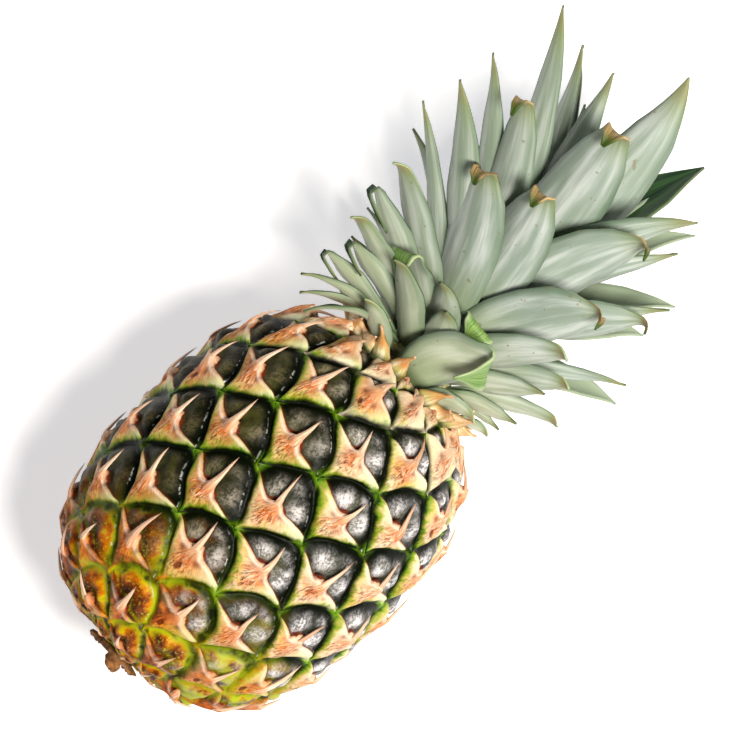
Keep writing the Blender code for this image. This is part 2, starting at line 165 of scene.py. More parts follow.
# Short leaves at the foot of the crown, rooted on the shoulder of the fruit: x of the root and its distance
# out, then the same values as above
FOOT_LEAVES = (
    (69.5, 21, 40, 80, 42, 0.02, 5, 14, "blunt"),
    (70.0, 21, -4, 101, 46, 0.02, -40, 22, "fold"),
    (69.5, 22, -34, 78, 36, 0.04, -20, 13, "blunt"),
    (69.5, 21, 92, 76, 40, 0.06, 6, 11, "blunt"),
    (69.5, 21, 150, 78, 38, 0.05, 0, 13, "blunt"),
    (69.5, 21, -150, 79, 37, 0.05, 8, 14, "blunt"),
    (69.5, 21, -104, 78, 38, 0.05, 0, 12, "blunt"),
)
FOOT_DRY = 0.55  # how dry their ends are

# Stalk, as in the solids: for each dried bract its azimuth, how far it reaches past the end of the fruit, how
# far out its tip is, and its width
STUB_R = 9 * MM
STUB_LEN = 1.6 * MM
DRY_BRACTS = (
    (-18, 5.2, 13, 7),
    (62, 0.8, 11.5, 6.5),
    (131, 1.2, 14, 8),
    (-158, 2.0, 13, 9),
    (-92, 0.8, 12, 8),
)


# A kind of shader node is its type and the value of its main setting.
MAIN_SETTING = {"Math": "operation", "MapRange": "interpolation_type", "Mix": "data_type", "UVMap": "uv_map",
                "VectorMath": "operation"}
TIMES, PLUS, MINUS, TIMES_PLUS = "Math MULTIPLY", "Math ADD", "Math SUBTRACT", "Math MULTIPLY_ADD"
LARGER, STEP, MIX = "Math MAXIMUM", "MapRange SMOOTHSTEP", "Mix RGBA"


def linear(colour):
    """An sRGB hex colour as linear RGBA."""
    parts = [int(colour[i : i + 2], 16) / 255 for i in (1, 3, 5)]
    return (*(c / 12.92 if c <= 0.04045 else ((c + 0.055) / 1.055) ** 2.4 for c in parts), 1.0)


def feed(tree, socket, source):
    """Gives a node's input its value: another node's output, an sRGB hex colour or a number."""
    if isinstance(source, bpy.types.NodeSocket):
        tree.links.new(source, socket)
    else:
        socket.default_value = linear(source) if isinstance(source, str) else source


def add(tree, kind, *sources, stops=(), **settings):
    """Adds a shader node and gives its first output. kind is its type and main setting, as in "Math ADD";
    sources are what its inputs get, in order; stops are the places and colours of a ramp."""
    kind, _, choice = kind.partition(" ")
    made = tree.nodes.new("ShaderNode" + kind)
    if choice:
        settings[MAIN_SETTING[kind]] = choice
    for name, value in settings.items():
        setattr(made, name, value)
    for socket, source in zip([s for s in made.inputs if s.enabled], sources):
        feed(tree, socket, source)
    for number, (where, colour) in enumerate(stops):
        elements = made.color_ramp.elements
        stop = elements[number] if number < 2 else elements.new(where)
        stop.position, stop.color = where, linear(colour)
    return next(s for s in made.outputs if s.enabled)


def material(name):
    """A new material: itself, its shader, and the functions that add nodes and links to it."""
    made = bpy.data.materials.new(name)
    made.use_nodes = True
    tree = made.node_tree
    return made, tree.nodes["Principled BSDF"], partial(add, tree), tree.links.new


def lay(node, colour, *layers):
    """Lays tints over a colour. Each layer is the value it follows, where that lets it in and where it is
    full, how much it covers there, and its tint."""
    for value, begins, full, most, tint in layers:
        colour = node(MIX, node(STEP, value, begins, full, 0.0, most), colour, tint)
    return colour


def ease(x, low=0.0, high=1.0):
    """0 below low, 1 above high, and smooth between."""
    t = np.clip((x - low) / (high - low), 0, 1)
    return t * t * (3 - 2 * t)


def grid(bm, x_cuts, y_cuts, maps, traits):
    """Adds a smooth grid and gives its points. The first map holds the place on it, the second its traits."""
    made = bmesh.ops.create_grid(bm, x_segments=x_cuts, y_segments=y_cuts, size=1)["verts"]
    for face in {f for v in made for f in v.link_faces}:
        face.smooth = True
        for loop in face.loops:
            loop[maps[0]].uv = (loop.vert.co.x / 2 + 0.5, loop.vert.co.y / 2 + 0.5)
            loop[maps[1]].uv = traits
    return made


# ---------------------------------------------------------------- rind


def outline():
    """The skin's outline by spiral index, without the end discs: index, x, radius, size, slope x and r."""
    t = np.linspace(0, math.pi, 1601)
    c = np.cos(t)
    x = np.where(c > 0, -BASE_HALF, CROWN_HALF) * np.abs(c) ** (2 / POWER)
    r = R * np.abs(np.sin(t)) ** (2 / POWER)
    run = np.hypot(np.diff(x), np.diff(r))
    middle_r = np.maximum((r[1:] + r[:-1]) / 2, 4 * MM)
    index = np.cumsum(run / (RISE * np.minimum(1, middle_r / SHRINK_R)))
    x, r = x[1:], r[1:]
    index += MIDDLE - index[np.argmin(np.abs(x))]
    kept = r >= SEAT_R
    index, x, r = index[kept], x[kept], r[kept]
    along, out = np.gradient(x), np.gradient(r)
    length = np.hypot(along, out)
    return index, x, r, np.minimum(1, r / SHRINK_R), along / length, out / length


SKIN = outline()


def on_skin(index, phi, height):
    """Points on the skin, raised by height (m) along its normal; the belly is pressed flat."""
    x, r, size, along, out = (np.interp(index, SKIN[0], column) for column in SKIN[1:])
    bare = AXIS_Z + (r + 0.5 * MM) * np.cos(phi)
    lift = height * size * np.clip(bare / (3.5 * MM), 0, 1)
    x, r = x - out * lift, r + along * lift
    points = np.stack([x, r * np.sin(phi), AXIS_Z + r * np.cos(phi)], -1)
    points[..., 2] = np.maximum(points[..., 2], 0)
    return points


def fruitlets():
    """The numbers of the fruitlets whose cells lie wholly on the skin."""
    reach = HALF_8 + HALF_13
    return range(math.ceil(SKIN[0][0] + reach), math.floor(SKIN[0][-1] - reach) + 1)


def chance_of(number):
    """Two seeded draws for a fruitlet, between 0 and 1."""
    chance = random.Random(number)
    return chance.random(), chance.random()


def azimuth(number, p, q):
    """Angle round the fruit, from its top, of a place on a fruitlet's cell."""
    return FACING_TURN - (number - FACING) * GOLDEN + p * TURN_8 / 2 + q * TURN_13 / 2


def youth(number):
    """1 for the youngest fruitlets, next to the crown, whose bract covers most of them."""
    return float(ease(np.interp(number, SKIN[0], SKIN[1]), 50 * MM, 65 * MM))


def bract_front(n, traits, young):
    """Where the bract's front edge lies: wings drawn forward at the corners, and the spine in the middle."""
    edge = BRACT_FRONT + NOSE * np.exp(-((n / NOSE_HALF) ** 2)) + WING * np.abs(n) + YOUNG_SHIFT * young
    return edge + FRONT_SHIFT * (traits[1] - 0.5) + FRONT_SKEW * (traits[0] - 0.5) * n


def bow(p, q):
    """The sepals' side of a fruitlet swells over its neighbours, so its edges bow between the corners."""
    return p + BOW * np.cos(q * math.pi / 2) * p * p, q + BOW * np.cos(p * math.pi / 2) * q * q


def hill(m, n, at_m, half_m, at_n=0.0, half_n=math.inf):
    """A smooth hill, 1 high, round a place; without a place in n, a ridge that runs along n."""
    return np.exp(-(((m - at_m) / half_m) ** 2 + ((n - at_n) / half_n) ** 2))


def relief(p, q, chance, traits, young):
    """Height of a fruitlet in mm: the bract plate below, plump sepals above, and the groove round them."""
    m, n = (p + q) / 2, (p - q) / 2
    low = 1 + np.minimum(p, q)
    high = 1 - np.log(np.exp(4.5 * p) + np.exp(4.5 * q)) / 4.5
    groove = -GROOVE * (1 - 0.6 * p**4 * q**4)
    front = m - bract_front(n, traits, young)
    # The plate has a keel that runs into the spine, on some a wound, a swollen front, and hollows.
    keel = (chance.uniform(0.8, 2.0) + 1.2 * young) * hill(n, m, 0, 0.2) * ease(m, -0.85, 0.05)
    plate = 2.3 + 1.2 * low + keel
    plate -= 1.8 * ease(traits[1], 0.6, 0.7) * hill(m, n, -0.33, 0.12, 0.2 * (traits[0] - 0.5), 0.09)
    plate += 0.9 * hill(front, n, 0, 0.09)
    plate -= 0.7 * hill(m, np.abs(n), -0.42, 0.16, 0.3, 0.13)
    plate -= 1.0 * hill(m, np.abs(n), -0.1, 0.09, 0.2, 0.07)
    # The sepals have a lobe on each side and a small one on top, and sink where they go under the bract.
    left, right, top = (chance.uniform(0.6, 1.3) * (1 - 0.5 * young) for _ in range(3))
    domes = 1.3 + 2.3 * left * hill(m, n, 0.28, 0.22, -0.34, 0.24)
    domes += 2.3 * right * hill(m, n, 0.32, 0.23, 0.33, 0.24)
    domes += 1.2 * top * hill(m, n, 0.55, 0.18, -0.02, 0.22)
    domes -= 1.1 * hill(front, n, 0, 0.08)
    domes -= 1.3 * hill(front, n, 0.05, 0.07, -0.14, 0.1)
    height = plate + (domes - plate) * ease(front, -0.02, 0.08)
    return groove + height * ease(low, 0, 0.3) * np.clip(high / 0.3, 0, 1) ** 0.6


def wander(points, span, reach):
    """Moves points along the skin by up to about reach, by a smooth random field with swirls of span."""
    moved = np.array([noise.noise_vector(Vector(point) / span) for point in points]) * reach
    out = points - (0, 0, AXIS_Z)
    out[:, 0] *= 0.6
    out /= np.linalg.norm(out, axis=1)[:, None]
    return points + moved - 0.8 * out * np.sum(out * moved, axis=1)[:, None]


def make_rind():
    """Each fruitlet is a grid laid on its cell of the spiral; the cells are then sewn together."""
    noise.seed_set(NOISE_SEED)
    bm = bmesh.new()
    cell_map, chance_map, depth_map = (bm.loops.layers.uv.new(name) for name in ("cell", "chance", "depth"))
    for number in fruitlets():
        chance, traits, young = random.Random(-number), chance_of(number), youth(number)
        made = grid(bm, EYE_CUTS, EYE_CUTS, (cell_map, chance_map), traits)
        p, q = (np.array([v.co[i] for v in made]) for i in (0, 1))
        # Rows crowd towards the edges, where the groove is steep.
        p, q = (1.2 * a - 0.2 * a**3 for a in (p, q))
        height = relief(p, q, chance, traits, young) * MM
        depth = dict(zip(made, height / MM))
        for face in {f for v in made for f in v.link_faces}:
            for loop in face.loops:
                loop[depth_map].uv = (0.5 + 0.1 * depth[loop.vert], young)
        p, q = bow(p, q)
        points = on_skin(number + HALF_8 * p + HALF_13 * q, azimuth(number, p, q), height)
        lively = np.clip((points[:, 2:] - 0.5 * MM) / (6 * MM), 0, 1)  # still where it rests on the table
        for motion in (DRIFT, CRINKLE):
            points += (wander(points, *motion) - points) * lively
        for v, place in zip(made, points):
            v.co = place
    bmesh.ops.remove_doubles(bm, verts=bm.verts, dist=0.01 * MM)
    inside = [v for v in bm.verts if not v.is_boundary]
    bmesh.ops.smooth_vert(bm, verts=inside, factor=0.5, use_axis_x=True, use_axis_y=True, use_axis_z=True)
    for side, x in ((-1, -BASE_HALF), (1, CROWN_HALF)):
        rim = [e for e in bm.edges if e.is_boundary and e.verts[0].co.x * side > 0]
        close_end(bm, rim, x - side * 1.2 * MM)
    bmesh.ops.recalc_face_normals(bm, faces=bm.faces)
    return piece("rind", bm, rind_material(), "pineapple_skin", "fruit")


def close_end(bm, rim, x):
    """Draws the open rim in to the flat seat of the stalk or the crown, and closes it there."""
    for reach in (SEAT_R - 1.5 * MM, 0.2 * MM):
        made = bmesh.ops.extrude_edge_only(bm, edges=rim)["geom"]
        for v in [g for g in made if isinstance(g, bmesh.types.BMVert)]:
            flat = Vector((0, v.co.y, v.co.z - AXIS_Z)).normalized() * reach
            v.co = Vector((x, flat.y, flat.z + AXIS_Z))
        rim = [g for g in made if isinstance(g, bmesh.types.BMEdge) and g.is_boundary]
    ends = {v for e in rim for v in e.verts}
    bmesh.ops.pointmerge(bm, verts=list(ends), merge_co=Vector((x, 0, AXIS_Z)))


def rind_fields(node):
    """What the finishes of the rind share: the place on a fruitlet, its traits, and the patterns there.
    m runs from the root of the bract to the far corner of the cell, and n across it."""
    at = SimpleNamespace()
    place = node("TexCoord").node.outputs["Object"]
    place_x, at.y, _ = node("SeparateXYZ", place).node.outputs
    cell_x, cell_y, _ = node("SeparateXYZ", node("UVMap cell")).node.outputs
    at.luck_a, at.luck_b, _ = node("SeparateXYZ", node("UVMap chance")).node.outputs
    level, at.young, _ = node("SeparateXYZ", node("UVMap depth")).node.outputs

    def shifted(value, by, reach):
        """The value, moved either way by a pattern that keeps round a half."""
        return node(TIMES_PLUS, node(MINUS, by, 0.5), reach, value)

    def bell(value, centre, width):
        """1 where the value is at the centre, falling smoothly to 0 on both sides."""
        off = node("Math DIVIDE", node(MINUS, value, centre), width)
        return node("Math EXPONENT", node(TIMES, node(TIMES, off, off), -1.0))

    def fan(from_m, turns, reaches, scale, detail, rough):
        """Fibres that fan out from the root of the spine: from_m is the place they start from."""
        behind = node(MINUS, from_m, at.m)
        angle = node("Math ARCTAN2", at.n, behind)
        reach = node("Math SQRT", node(PLUS, node(TIMES, at.n, at.n), node(TIMES, behind, behind)))
        spread = node("CombineXYZ", node(TIMES, angle, turns), node(TIMES, reach, reaches), luck)
        return node("TexNoise", spread, scale, detail, rough)

    # Scales on the skin are features per metre: 950 for 1 mm pores, 480 and 420 for 2 mm breaks in the
    # painted glints and ragged edges, 260 and 150 for 4 mm specks and 7 mm mottling, 60 and 25 for blotches
    # of 17 and
    # 40 mm.
    ragged, at.specks = (node("TexNoise", place, scale, 4.0, 0.55) for scale in (420.0, 260.0))
    at.glitter, at.mottle, at.blotch, patches = (node("TexNoise", place, scale, 3.0, 0.55)
                                                 for scale in (480.0, 150.0, 60.0, 25.0))
    at.fine = node("TexNoise", place, 950.0, 3.0, 0.7)
    ragged = node(TIMES, node(MINUS, ragged, 0.5), 0.10)
    p = node(PLUS, node(TIMES_PLUS, cell_x, 2.0, -1.0), ragged)
    q = node(MINUS, node(TIMES_PLUS, cell_y, 2.0, -1.0), ragged)
    at.m, at.n = (node(TIMES, node(kind, p, q), 0.5) for kind in (PLUS, MINUS))
    at.side = node("Math ABSOLUTE", at.n)
    at.low = node(PLUS, node("Math MINIMUM", p, q), 1.0)
    at.high = node(MINUS, 1.0, node("Math SMOOTH_MAX", p, q, 0.9))
    front = node(MINUS, at.m, node(TIMES_PLUS, bell(at.n, 0.0, NOSE_HALF), NOSE, BRACT_FRONT))
    front = shifted(node(MINUS, front, node(TIMES, at.side, WING)), at.luck_b, -FRONT_SHIFT)
    skew = node(TIMES, at.n, node(MINUS, at.luck_a, 0.5))
    at.front = node(TIMES_PLUS, at.young, -YOUNG_SHIFT, node(TIMES_PLUS, skew, -FRONT_SKEW, front))

    luck = node(TIMES, at.luck_a, 40.0)
    at.fibres = fan(0.18, 6.0, 3.0, 1.3, 4.0, 0.65)
    at.hairs = fan(0.18, 22.0, 4.5, 1.2, 2.0, 0.5)
    at.rays = fan(-0.1, 12.0, 4.0, 1.2, 4.0, 0.6)
    at.splits = fan(0.18, 9.0, 4.0, 2.0, 5.0, 0.75)
    # painted shade: dark where the relief lies deep, in the grooves
    at.deep = node(STEP, shifted(level, at.mottle, 0.12), 0.33, 0.17)
    at.ripe = node(STEP, shifted(place_x, patches, 0.07), -0.018, -0.062)
    at.shifted, at.bell = shifted, bell
    return at


def bract_colour(node, at):
    """Bract: dark green rim, painted nearly black at its very edge as shade where it dips into the groove;
    olive and cream wings, peach and orange towards the spine, pale hairs. It is painted paler on the -y side,
    which faces the lamp, and is paler too next to the crown, where the fruitlets are young; it is painted tan
    on the
    +y side, in shade. Gives its colour and its cracks."""
    depth = node("Math MINIMUM", node(TIMES, at.low, 1.15), node(TIMES, node(MINUS, 1.05, at.side), 1.3))
    for by, reach in ((at.fibres, 0.55), (at.mottle, 0.7), (at.luck_a, 0.22)):
        depth = at.shifted(depth, by, reach)
    # green at the rim, painted nearly black at its very edge as shade where the bract dips into the groove
    bract = node("ValToRGB", depth, stops=(
        (0.0, "#0f2002"), (0.08, "#3a640a"), (0.20, "#769620"), (0.35, "#aeab4c"), (0.5, "#dcc270"),
        (0.72, "#e69d5c"), (1.0, "#f2ba8c")))
    # painted light: paler on the -y side, which faces the lamp; paler too next to the crown, where the
    # fruitlets are young
    pale = node(TIMES, node(STEP, at.y, 0.03, -0.035, 0.1, 1.0), node(STEP, depth, 0.26, 0.5))
    pale = node(TIMES, node(LARGER, pale, at.young), node(STEP, at.blotch, 0.38, 0.54, 0.0, 0.8))
    # painted shade: tan on the +y side, away from the lamp
    tan = node(TIMES, node(STEP, at.y, -0.015, 0.04, 0.0, 0.75), node(STEP, at.blotch, 0.58, 0.44))
    tan = node(TIMES, tan, node(STEP, depth, 0.2, 0.5))
    mellow = node("ValToRGB", at.shifted(at.mottle, at.blotch, 2.2), stops=(
        (0.32, "#431604"), (0.44, "#ad5208"), (0.56, "#d87e06"), (0.72, "#b4a406")))
    glow = node(TIMES, at.bell(at.n, 0.0, 0.26), at.bell(at.m, -0.2, 0.28))
    glow = node(TIMES, glow, node(STEP, at.fibres, 0.36, 0.54, 0.0, 0.85))
    white = node(TIMES, node(STEP, at.hairs, 0.5, 0.66), node(STEP, depth, 0.4, 0.75))
    white = node(TIMES, white, node(TIMES_PLUS, at.ripe, -0.6, 0.75))

    crack = node(TIMES, at.bell(at.n, 0.0, 0.26), at.bell(at.m, -0.36, 0.26))
    crack = node(TIMES, crack, node(STEP, at.splits, 0.51, 0.58))
    wound = node(TIMES, at.bell(at.m, -0.33, 0.12), at.bell(at.shifted(at.n, at.luck_a, -0.2), 0.0, 0.085))
    wound = node(TIMES, wound, node(STEP, at.luck_b, 0.6, 0.7))
    notch = node(TIMES, at.bell(at.m, -0.08, 0.08), at.bell(at.side, 0.19, 0.07))
    for other in (node(STEP, wound, 0.4, 0.75), node(TIMES, notch, 0.8)):
        crack = node(LARGER, crack, other)

    wing = node(TIMES, node(STEP, at.n, 0.3, 0.75), node(STEP, depth, 0.16, 0.4))
    wing = node(TIMES, wing, node(TIMES_PLUS, at.ripe, -0.7, 0.7))
    lip = node(TIMES, at.bell(at.front, -0.045, 0.035), node(STEP, at.side, 0.75, 0.35))
    lip = node(TIMES, lip, node(TIMES_PLUS, at.ripe, -0.5, 1.0))
    for share, tint in (
        (pale, "#f2dfc2"),
        (tan, "#a8691f"),
        (node(TIMES, at.ripe, 0.94), mellow),
        (glow, "#d9661a"),
        (node(STEP, at.rays, 0.55, 0.7, 0.0, 0.35), "#8a7a3c"),
        (white, node(MIX, at.ripe, "#f8d8b0", "#e8b64e")),
        (node(TIMES, crack, 0.9), "#5c1f0a"),
        (wing, "#d3dcae"),
        (node(TIMES, lip, node(TIMES_PLUS, at.hairs, 0.6, 0.4)), "#fbe2cb"),
    ):
        bract = node(MIX, share, bract, tint)
    return bract, crack


def sepal_colour(node, at):
    """Sepals: near-black olive, with a powdery grey bloom on each lobe, and painted red-brown shade under the
    bract's edge and in the hollows beside the spine. The bloom is painted brighter and paler on the -y side,
    which faces the lamp, and dimmer and browner on the +y side, in shade; painted glints run along the rims.
    Where the fruit ripens, from the stalk end, they turn yellow, orange and brown inside a lime rim. Gives
    their colour and their bloom with its painted light."""
    lobes = [node(TIMES, at.bell(at.m, *along), at.bell(at.n, *across))
             for along, across in (((0.18, 0.22), (-0.3, 0.21)), ((0.21, 0.26), (0.29, 0.2)),
                                   ((0.5, 0.14), (0.0, 0.2)))]
    bloom = node(LARGER, node(LARGER, lobes[0], lobes[1]), node(TIMES, lobes[2], 0.6))
    dust = node(PLUS, node(TIMES, at.fine, 0.7), node(TIMES, at.rays, 0.5))
    dust = node(PLUS, dust, node(TIMES, at.specks, 0.7))
    # The bloom is real; it is painted stronger on the -y side, which faces the lamp, and weaker on the +y
    # side, in shade
    bloom_and_painted_light = node("Math POWER", bloom, 1.45)
    for share in (node(STEP, dust, 0.82, 1.1, 0.18, 1.0), node(TIMES_PLUS, at.luck_b, 0.45, 0.62),
                  node(STEP, at.y, 0.04, -0.035, 0.3, 1.6), node(TIMES_PLUS, at.ripe, -0.95, 1.0)):
        bloom_and_painted_light = node(TIMES, bloom_and_painted_light, share)

    dome = node("ValToRGB", at.shifted(at.high, at.mottle, 0.5), stops=(
        (0.04, "#010200"), (0.24, "#050a02"), (0.5, "#171c08"), (0.8, "#33341a")))
    husk = node("ValToRGB", at.shifted(at.high, at.mottle, 1.3), stops=(
        (0.0, "#3c5c0a"), (0.06, "#a4ae08"), (0.17, "#d2b404"), (0.28, "#cc7204"), (0.42, "#8e3e04"),
        (0.62, "#401602")))
    husk = lay(node, husk, (at.fine, 0.56, 0.66, 0.7, "#cfc22c"))
    streak = node(TIMES, node(STEP, at.rays, 0.56, 0.68), node(STEP, at.high, 0.25, 0.5))
    husk = node(MIX, streak, husk, "#401804")
    fresh = node(TIMES, at.ripe, node(STEP, at.y, -0.006, -0.028, 0.0, 0.85))
    # painted shade: dark red in the hollows beside the root of the spine, which the relief also sinks
    hollow_shade = node(LARGER, node(TIMES, at.bell(at.n, -0.14, 0.09), at.bell(at.front, 0.05, 0.07)),
                  node(TIMES, at.bell(at.n, 0.15, 0.06), at.bell(at.front, 0.04, 0.05)))
    # painted highlight: broken white glints along the rim, on the side towards the lamp
    painted_glint = node(TIMES, at.bell(at.high, 0.13, 0.025), node(STEP, at.glitter, 0.52, 0.58))
    for share, tint in (
        (node(TIMES, node(STEP, at.blotch, 0.5, 0.62), node(STEP, at.high, 0.2, 0.5, 0.0, 0.6)), "#46471a"),
        (node(TIMES, at.ripe, 0.92), husk),
        (node(TIMES, fresh, node(STEP, at.mottle, 0.62, 0.42)), "#a4b412"),
        # painted shade: the bloom turns browner on the +y side, away from the lamp
        (bloom_and_painted_light, node(MIX, node(STEP, at.y, 0.035, -0.03), "#ab9a72", "#e2dee0")),
        # painted shade: red-brown under the bract's overhanging front edge
        (node(STEP, at.front, 0.02, 0.09, 0.8, 0.0), "#4a1a0a"),
        (node(STEP, at.shifted(hollow_shade, at.fine, 0.5), 0.3, 0.75, 0.0, 0.9), "#6a2410"),
        (node(TIMES, painted_glint, node(STEP, at.n, -0.1, 0.15)), "#f2f5ee"),
    ):
        dome = node(MIX, share, dome, tint)
    return dome, bloom_and_painted_light


def rind_material():
    """Living pineapple rind: fleshy bracts that run from green at the groove to peach at the spine, over dark
    waxy sepals with a powdery bloom. The wax gives a soft sheen and the bloom takes it away."""
    made, shader, node, link = material("pineapple_rind")
    at = rind_fields(node)
    bract, crack = bract_colour(node, at)
    dome, bloom_and_painted_light = sepal_colour(node, at)
    is_dome = node(STEP, at.front, 0.0, 0.03)
    skin = node(MIX, is_dome, bract, dome)
    # Groove: painted shade, nearly black, where the relief lies deep and at the rim of each cell; lime where
    # fruitlets meet and where the fruit ripens.
    lime = node(LARGER, node(TIMES, at.ripe, 0.8), node(STEP, at.side, 0.7, 0.98))
    lime = node(LARGER, lime, node(STEP, at.m, 0.8, 1.0))
    groove_shade_and_lime = node(MIX, at.ripe, "#060b02", "#3a3a08")
    groove_shade_and_lime = node(MIX, node(TIMES, lime, node(STEP, at.mottle, 0.34, 0.6)), groove_shade_and_lime,
               node(MIX, at.ripe, "#6fa012", "#b1b814"))
    skin = node(MIX, node(LARGER, at.deep, node(STEP, at.high, 0.06, 0.0)), skin, groove_shade_and_lime)
    link(skin, shader.inputs["Base Color"])
    link(node(TIMES_PLUS, node(TIMES, bloom_and_painted_light, is_dome), 0.4, 0.34), shader.inputs["Roughness"])
    shader.inputs["Specular IOR Level"].default_value = 0.07
    shader.inputs["IOR"].default_value = 1.45
    hairy = node(TIMES, at.hairs, node(TIMES, node(MINUS, 1.0, is_dome), 0.35))
    grain = node(PLUS, node(PLUS, node(TIMES, at.fibres, 0.5), node(TIMES, at.fine, 0.2)), hairy)
    link(node("Bump", 0.7, 0.0007, 0.1, node(MINUS, grain, crack)), shader.inputs["Normal"])
    return made


# ---------------------------------------------------------------- spines


def make_spines():
    """One flat, three-edged spine for each bract, drawn out of its middle and lying towards the crown."""
    noise.seed_set(NOISE_SEED)
    bm = bmesh.new()
    maps = bm.loops.layers.uv.new("along"), bm.loops.layers.uv.new("trait")
    for number in fruitlets():
        chance, young = random.Random(1000 + number), youth(number)
        x, _, size, _, _ = (float(np.interp(number, SKIN[0], column)) for column in SKIN[1:])
        phi = float(azimuth(number, 0, 0))
        near_crown = min(1.0, max(0.55, (74 * MM - x) / (12 * MM)))
        ripened = 0.75 + 0.25 * float(ease(x, -70 * MM, -35 * MM))
        stretch = size * near_crown * ripened * chance.uniform(0.8, 1.12)
        veer, rise = chance.uniform(-0.3, 0.25), chance.uniform(0.4, 1.2)
        rise *= 1 - (0.55 if phi > 0 else 0.4) * float(ease(abs(math.sin(phi)), 0.4, 0.85))
        if number in STRAY_SPINES:
            veer, rise = STRAY_SPINES[number]
        if on_skin(number, phi, 0)[2] < 3 * MM:  # worn off where the fruit lies on the table
            continue
        made = grid(bm, *SPINE_CUTS, maps, (chance.random(), 0))
        t, turn = (np.array([v.co[i] for v in made]) for i in (0, 1))
        t, turn = t / 2 + 0.5, (turn + 1) * math.pi
        # The grid is rolled into a flat cone, buried in the bract at its root.
        ahead = SPINE_AT[0] + (SPINE_AT[-1] - SPINE_AT[0]) * t
        rows = SPINE_HALF, SPINE_THICK, SPINE_UP
        width, thick, up = (np.interp(ahead, SPINE_AT, row) * size for row in rows)
        across = width * (1 + 0.5 * young) * np.cos(turn)
        up = up * np.where(ahead > 0, (rise * ripened**3) ** (ahead / SPINE_AT[-1]), 1.0)
        lift = up + thick * np.sin(turn) + 0.5 * thick * np.exp(-((turn - math.pi / 2) ** 2) * 4)
        forward = (chance_of(number)[1] - 0.5) * FRONT_SHIFT + young * YOUNG_SHIFT
        ahead = ahead * stretch + forward * CELL_REACH * size
        ahead, across = (ahead * math.cos(veer) - across * math.sin(veer),
                         ahead * math.sin(veer) + across * math.cos(veer))
        index = np.clip(number + ahead * MM / (RISE * max(size, 0.3)), SKIN[0][0], SKIN[0][-1])
        radius = np.interp(index, SKIN[0], SKIN[2])
        points = on_skin(index, phi - across * MM / np.maximum(radius, 8 * MM), lift * MM / size)
        for v, place in zip(made, wander(points, *DRIFT)):
            v.co = place
            v.co.z = max(v.co.z, 0.2 * MM)
    bmesh.ops.remove_doubles(bm, verts=bm.verts, dist=0.02 * MM)
    bmesh.ops.holes_fill(bm, edges=[e for e in bm.edges if e.is_boundary], sides=0)
    bmesh.ops.recalc_face_normals(bm, faces=bm.faces)
    return piece("bract_spines", bm, spine_material(), "pineapple_skin")


def spine_material():
    """Soft bract tip, dry and fibrous like straw: peach at its root, pale along it and brown at its end."""
    made, shader, node, link = material("dry_bract_tip")
    along, round_it, _ = node("SeparateXYZ", node("UVMap along")).node.outputs
    trait = node("SeparateXYZ", node("UVMap trait"))
    grain = node("TexNoise", node("TexCoord").node.outputs["Object"], 420.0, 3.0)  # 2.4 mm
    lines = node("VectorMath MULTIPLY", node("CombineXYZ", along, round_it, trait), (3.0, 26.0, 40.0))
    streaks = node("TexNoise", lines, 1.0, 2.0)
    where = node(TIMES, node(TIMES_PLUS, grain, 0.4, along), 0.8)
    shade = node("ValToRGB", where, stops=(
        (0.24, "#d8824a"), (0.38, "#e8aa7c"), (0.52, "#f0c8a6"), (0.8, "#ecc7a8"), (0.98, "#8f5c3a")))
    shade = lay(node, shade, (trait, 0.7, 1.0, 0.5, "#a9683a"), (streaks, 0.48, 0.68, 0.65, "#b9703f"),
                (streaks, 0.46, 0.34, 0.6, "#fbe9d6"))
    link(shade, shader.inputs["Base Color"])
    shader.inputs["Roughness"].default_value = 0.55
    link(node("Bump", 0.5, 0.0004, 0.1, node(PLUS, grain, streaks)), shader.inputs["Normal"])
    return made


# ---------------------------------------------------------------- crown


def core_radius(x):
    """Radius of the leafy stem at x, both in mm."""
    return float(np.interp(x, *zip(*CORE)))


def leaf_width(s, kind):
    """Share of a leaf's full width at s of its length."""
    return float(np.interp(s, *zip(*LEAF_KINDS[kind][-1])))


def leaf_line(root_x, root_r, phi, tip_x, tip_out, arch, swing, kind, chance):
    """The centre line of a leaf, as rows of (place, across, inward). Root and tip are in mm, and the end
    curls as its kind does."""
    start, end = Vector((root_x * MM, root_r * MM)), Vector((tip_x * MM, tip_out * MM))
    run = end - start
    control = start + run / 2 + Vector((run.y, -run.x)) * arch
    curl, curl_begins, curl_ends, _, _ = LEAF_KINDS[kind]
    curl *= chance.uniform(0.9, 1.08)
    roll_share = max(0.0, math.cos(2 * (abs(phi) - math.radians(75)))) * math.copysign(1, phi)
    rows, place = [], None
    for k in range(LEAF_ROWS + 1):
        s = k / LEAF_ROWS
        step = (control - start) * 2 * (1 - s) + (end - control) * 2 * s
        slope = step.normalized()
        turn = phi + swing * s * s
        out = Vector((0, math.sin(turn), math.cos(turn)))
        ahead = Vector((slope.x, 0, 0)) + out * slope.y
        lift = Vector((slope.y, 0, 0)) - out * slope.x
        across = Vector((0, out.z, -out.y))
        radius = start.y + (end.y - start.y) * s
        travel = ahead * step.length + across * swing * 2 * s * radius
        length, ahead = travel.length / LEAF_ROWS, travel.normalized()
        across = (across - ahead * across.dot(ahead)).normalized()
        bent = float(ease(s, curl_begins, curl_ends))
        roll = ROLL * float(ease(s, 0, 0.6)) * roll_share * (1 - bent * (kind == "drooped"))
        side = across * math.cos(roll) - lift * math.sin(roll)
        lift = lift * math.cos(roll) + across * math.sin(roll)
        bend = curl * bent
        ahead, lift = (ahead * math.cos(bend) - lift * math.sin(bend),
                       lift * math.cos(bend) + ahead * math.sin(bend))
        if place is None:
            place = Vector((start.x, 0, AXIS_Z)) + out * start.y
        rows.append((place.copy(), side, lift))
        place += ahead * length
    return rows


